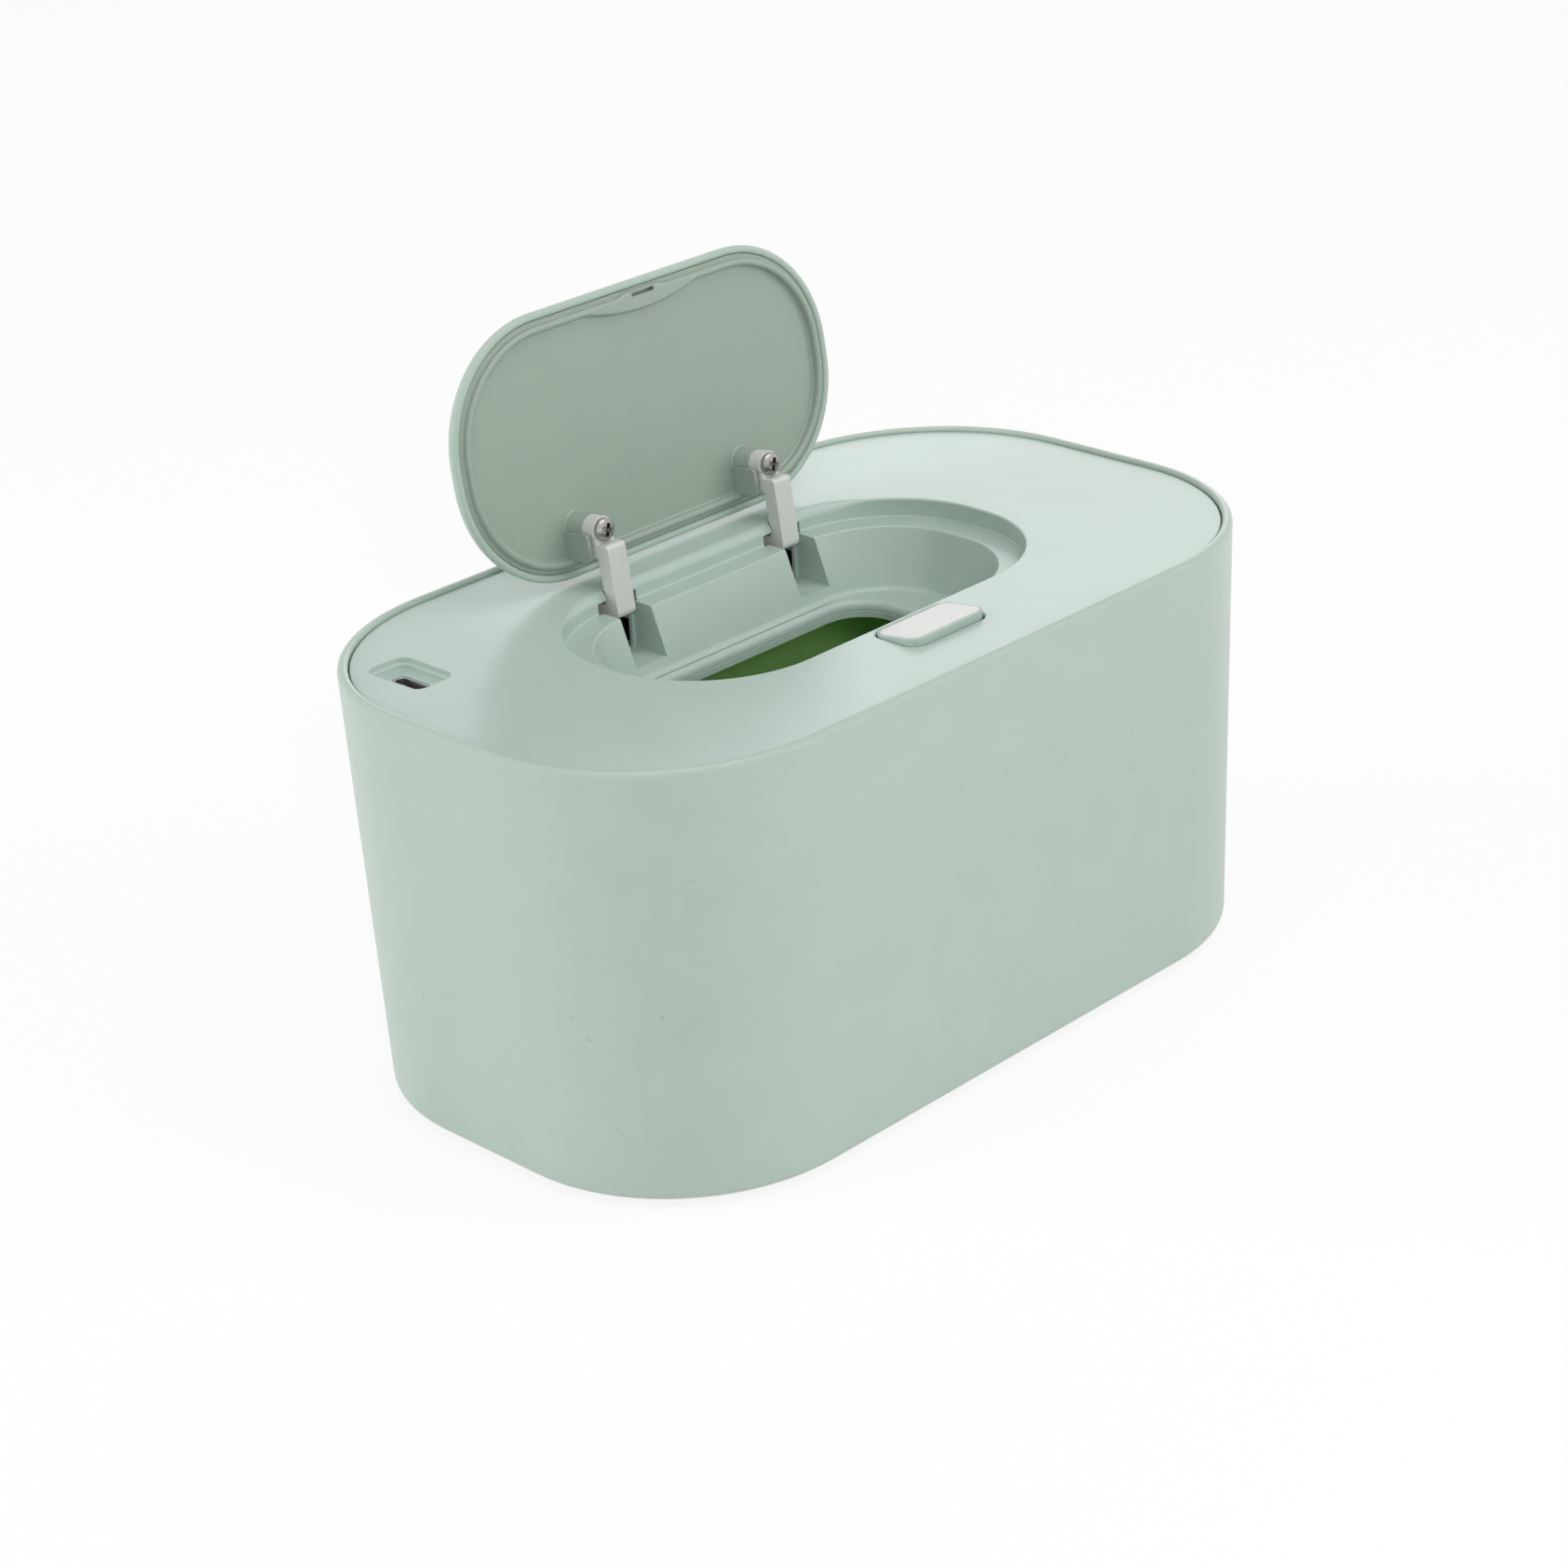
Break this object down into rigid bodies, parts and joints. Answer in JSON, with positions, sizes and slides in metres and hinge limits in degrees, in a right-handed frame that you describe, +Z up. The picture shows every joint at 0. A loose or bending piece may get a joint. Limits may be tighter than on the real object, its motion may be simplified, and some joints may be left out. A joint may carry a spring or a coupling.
{
  "type": "baby wipe warmer",
  "caption": "Heated box for baby wipes: drafted round-cornered tub, lift-off heater cover with a dispensing well, sprung flip lid on gooseneck arms, release button and power inlet.",
  "frame": {"origin": "middle of the footprint, on the surface that the feet stand on", "axes": "+X along the long side, away from the power inlet; +Y towards the hinge at the back; +Z up"},
  "size_m": [0.202, 0.12, 0.1548],
  "materials": {
    "mint_plastic": "satin gloss, mint green",
    "cover_plastic": "gloss, pale mint green",
    "lid_inner_plastic": "satin, mint green",
    "green_plastic": "satin, grass green",
    "arm_nylon": "natural nylon",
    "inlay_plastic": "satin, off-white",
    "latch_plastic": "natural acetal",
    "foot_rubber": "matte",
    "gasket_rubber": "soft translucent grey",
    "heater_aluminium": "bare sheet",
    "film_plastic": "amber film",
    "foam": "closed-cell foam",
    "dark_plastic": "black moulded",
    "board": "lacquered green",
    "lead_sleeve": "red sleeve",
    "plated_steel": "nickel plated",
    "pin_steel": "bright drawn",
    "spring_steel": "drawn wire"
  },
  "bodies": {
    "base": {"tub_shell": "mint_plastic", "rubber_feet": "foot_rubber", "wipe_liner": "green_plastic"},
    "cover": {"top_cover": "cover_plastic", "cover_gasket": "gasket_rubber", "bottom_cover": "cover_plastic", "cover_screws": "plated_steel", "heating_plate": "heater_aluminium", "heating_film": "film_plastic", "insulation_pad": "foam", "thermostat": "dark_plastic", "circuit_board": "board", "heater_leads": "lead_sleeve", "usb_shell": "plated_steel", "usb_tongue": "dark_plastic", "hinge_pin_left": "pin_steel", "hinge_pin_right": "pin_steel", "hinge_spring_left": "spring_steel", "hinge_spring_right": "spring_steel", "button_spring": "spring_steel"},
    "lid": {"lid_shell": "mint_plastic", "lid_inner": "lid_inner_plastic", "hinge_arm_left": "arm_nylon", "hinge_arm_right": "arm_nylon", "arm_screws": "plated_steel"},
    "button": {"button_cap": "cover_plastic", "button_inlay": "inlay_plastic"},
    "latch": {"latch": "latch_plastic"}
  },
  "joints": [
    {"name": "cover_lift", "type": "slide", "parent": "base", "child": "cover", "axis": [0, 0, 1], "range_m": [0, 0.085]},
    {"name": "lid_hinge", "type": "hinge", "parent": "cover", "child": "lid", "pos_m": [0, 0.0359, 0.0907], "axis": [1, 0, 0], "range_deg": [0, 97.2], "stiffness_Nm_per_rad": 0.006, "springref_deg": -51.57},
    {"name": "button_press", "type": "slide", "parent": "cover", "child": "button", "axis": [0, 0, -1], "range_m": [0, 0.0015], "stiffness_N_per_m": 800, "springref_m": -0.001, "deforming": ["button_spring"]},
    {"name": "latch_slide", "type": "slide", "parent": "cover", "child": "latch", "axis": [-1, 0, 0], "range_m": [0, 0.0015]}
  ],
  "couplings": [
    {"joint": "latch_slide", "follows": "button_press", "ratio": 1}
  ]
}
